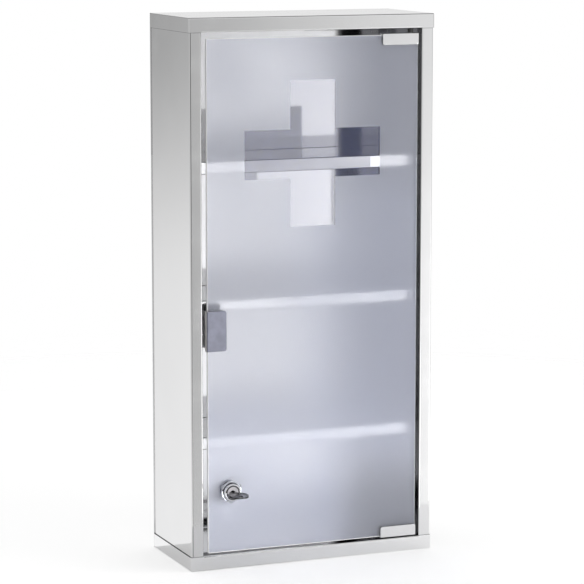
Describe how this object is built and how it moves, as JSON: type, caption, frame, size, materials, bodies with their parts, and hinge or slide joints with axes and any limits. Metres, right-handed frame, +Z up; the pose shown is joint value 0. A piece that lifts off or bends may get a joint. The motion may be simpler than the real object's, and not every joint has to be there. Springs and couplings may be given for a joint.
{
  "type": "medicine cabinet",
  "caption": "Wall-hung medicine cabinet of folded polished steel with shelves behind a satin glass door, which turns on corner pivots and has a push catch and a keyed cam lock.",
  "frame": {"origin": "centre of the back panel's wall face", "axes": "+X to the right of someone in front of the cabinet, +Y into the wall, +Z up"},
  "size_m": [0.29, 0.1606, 0.608],
  "materials": {
    "polished_steel": "polished stainless sheet, near mirror",
    "satin_glass": "satin etched on its back, with a clear cross",
    "clip_chrome": "satin chromed casting",
    "push_plate_steel": "fine brushed",
    "clear_plastic": "translucent",
    "black_plastic": "moulded, fine grain",
    "lock_chrome": "bright chromed",
    "lock_plug_nickel": "nickel plated",
    "key_nickel": "nickel plated, worn",
    "brass": "stamped",
    "zinc_plated": "bright zinc plated",
    "magnet_nickel": "nickel plated"
  },
  "bodies": {
    "cabinet": {"right_side_panel": "polished_steel", "left_side_panel": "polished_steel", "back_panel": "polished_steel", "top_cap": "polished_steel", "bottom_cap": "polished_steel", "lower_shelf": "polished_steel", "middle_shelf": "polished_steel", "upper_shelf": "polished_steel", "upper_pivot_bush": "black_plastic", "lower_pivot_bush": "black_plastic", "catch_bracket": "polished_steel", "catch_housing": "black_plastic", "catch_screws": "zinc_plated", "catch_spring": "zinc_plated"},
    "door": {"glass_panel": "satin_glass", "upper_hinge_clip": "clip_chrome", "lower_hinge_clip": "clip_chrome", "upper_hinge_liner": "clear_plastic", "lower_hinge_liner": "clear_plastic", "hinge_grub_screws": "zinc_plated", "upper_pivot_pin": "zinc_plated", "lower_pivot_pin": "zinc_plated", "push_plate": "push_plate_steel", "push_plate_liner": "clear_plastic", "lock_collar": "lock_chrome", "lock_barrel": "lock_chrome", "lock_front_washer": "black_plastic", "lock_rear_washer": "black_plastic", "lock_rear_nut": "zinc_plated"},
    "lock": {"lock_plug": "lock_plug_nickel", "lock_wafers": "brass", "lock_cam": "zinc_plated", "cam_screw": "zinc_plated"},
    "key": {"key": "key_nickel"},
    "plunger": {"catch_plunger": "black_plastic", "catch_magnet": "magnet_nickel"}
  },
  "joints": [
    {"name": "door_hinge", "type": "hinge", "parent": "cabinet", "child": "door", "pos_m": [0.119, -0.118, 0], "axis": [0, 0, 1], "range_deg": [0, 110]},
    {"name": "lock_turn", "type": "hinge", "parent": "door", "child": "lock", "pos_m": [-0.098, -0.12, -0.217], "axis": [0, 1, 0], "range_deg": [0, 90]},
    {"name": "key_pull", "type": "slide", "parent": "lock", "child": "key", "axis": [0, -1, 0], "range_m": [0, 0.02]},
    {"name": "catch_plunger_slide", "type": "slide", "parent": "cabinet", "child": "plunger", "axis": [0, -1, 0], "range_m": [0, 0.007]}
  ],
  "couplings": [
    {"joint": "catch_plunger_slide", "follows": "door_hinge", "m_per_rad": 0.003646}
  ]
}
